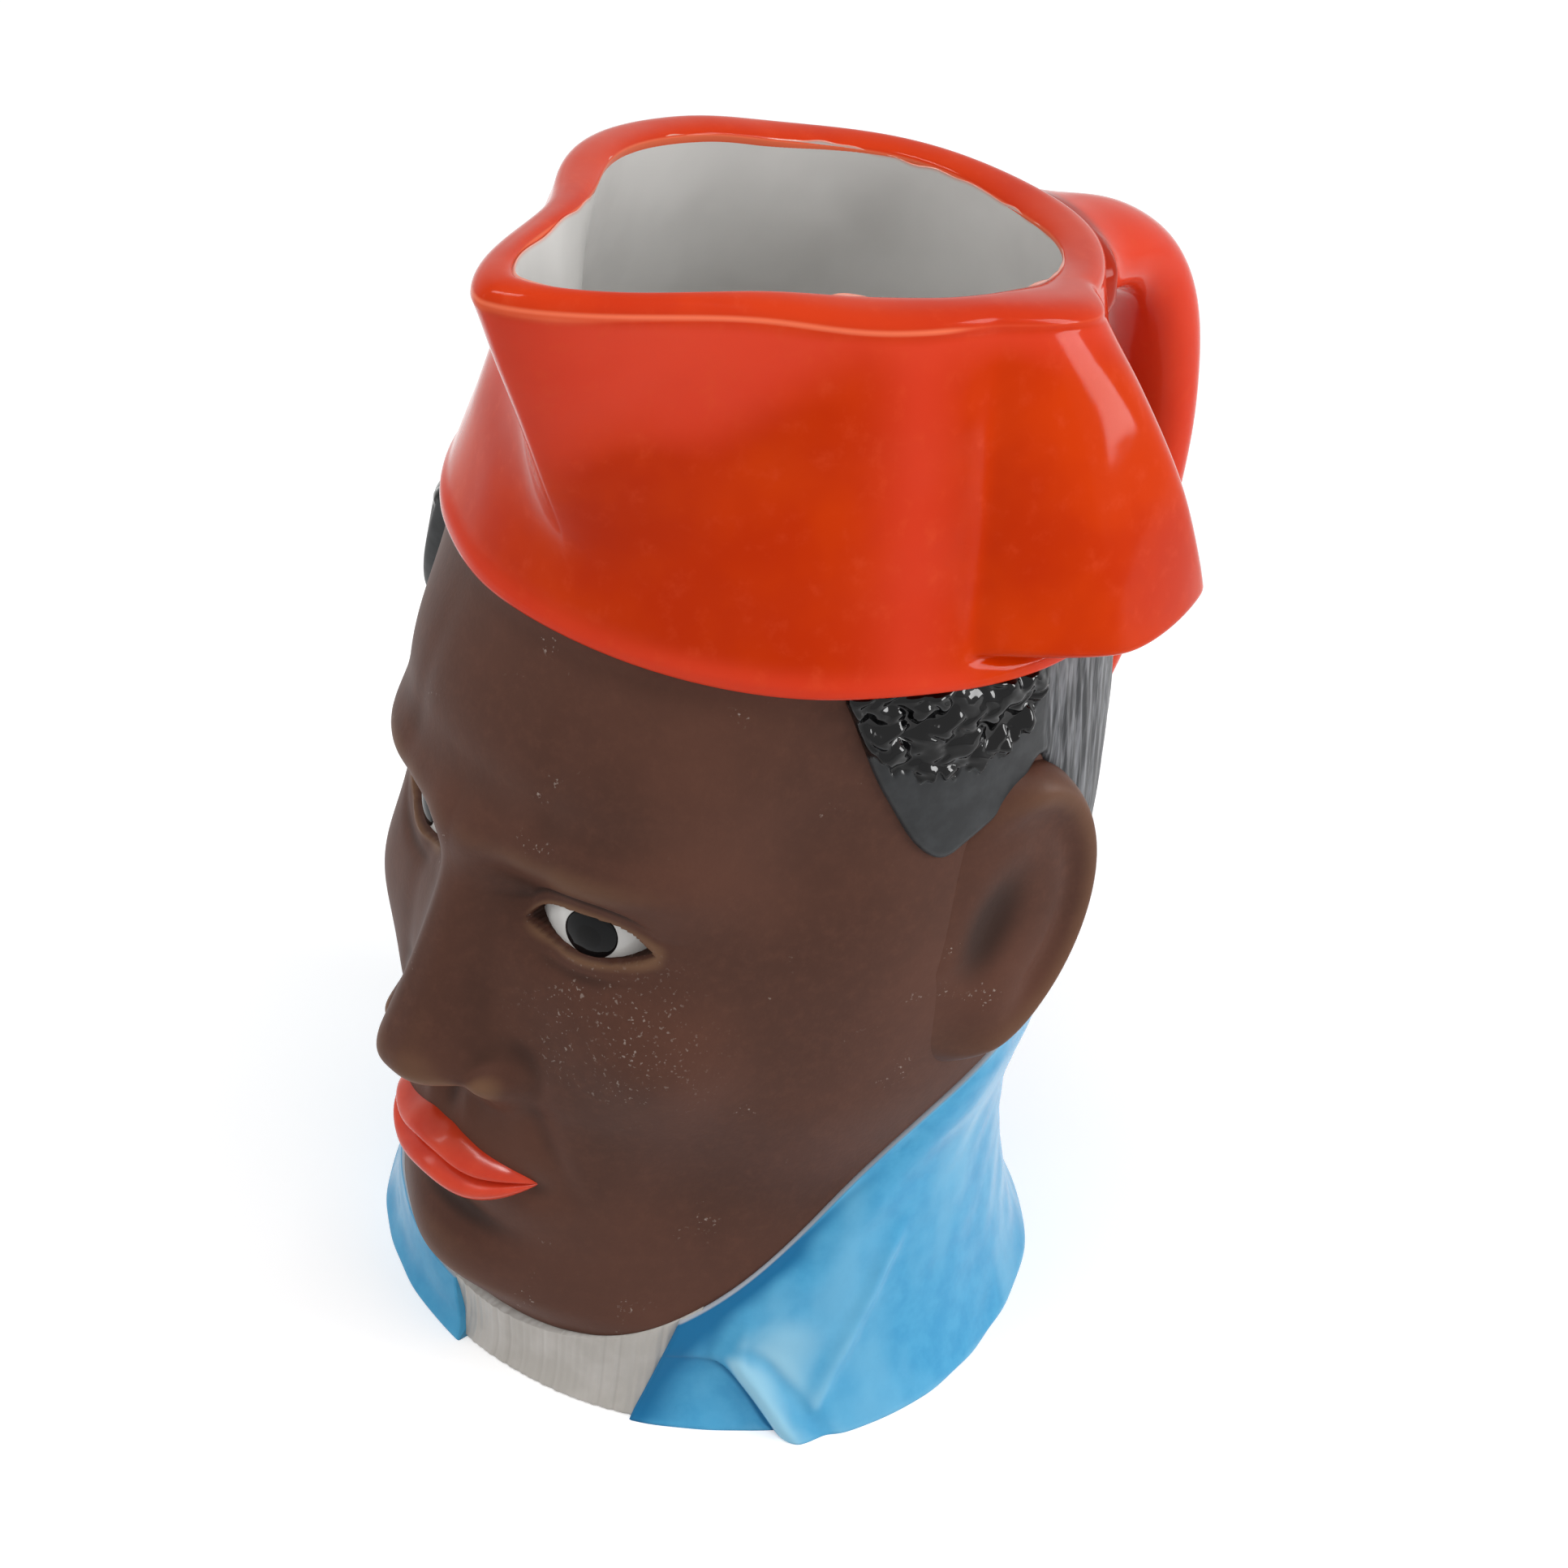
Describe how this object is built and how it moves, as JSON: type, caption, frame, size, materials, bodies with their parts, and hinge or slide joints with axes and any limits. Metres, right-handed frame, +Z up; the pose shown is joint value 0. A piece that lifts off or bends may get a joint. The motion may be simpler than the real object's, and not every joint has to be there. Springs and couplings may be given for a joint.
{
  "type": "head pitcher",
  "caption": "Figural pitcher shaped as a capped head with a stand-up collar, pouring spout at the front of the cap rim, and loop handle from the rim to the nape.",
  "frame": {"origin": "centre of the flat foot, on the surface the pitcher stands on", "axes": "+Z up; the face and the spout look along -Y, the handle is at +Y, and +X is the head's own left side, where the cap's fold hangs"},
  "size_m": [0.0841, 0.1131, 0.1484],
  "materials": {
    "white_glaze": "white tin glaze, glossy",
    "brown_bisque": "brown stained bisque, matte",
    "black_glaze": "black glaze, glossy",
    "red_glaze": "orange-red glaze, glossy",
    "blue_glaze": "sky-blue glaze, mottled, glossy",
    "shirt_glaze": "warm white glaze, satin",
    "lip_glaze": "red glaze, glossy"
  },
  "bodies": {
    "root": {"vessel_body": "white_glaze", "head": "brown_bisque", "hair": "black_glaze", "cap": "red_glaze", "cap_side_fold": "red_glaze", "handle": "red_glaze", "jacket": "blue_glaze", "shirt_front": "shirt_glaze", "upper_lip": "lip_glaze", "lower_lip": "lip_glaze", "ear_left": "brown_bisque", "eye_left": "white_glaze", "iris_left": "black_glaze", "collar_flap_left": "blue_glaze", "ear_right": "brown_bisque", "eye_right": "white_glaze", "iris_right": "black_glaze", "collar_flap_right": "blue_glaze"}
  },
  "joints": []
}
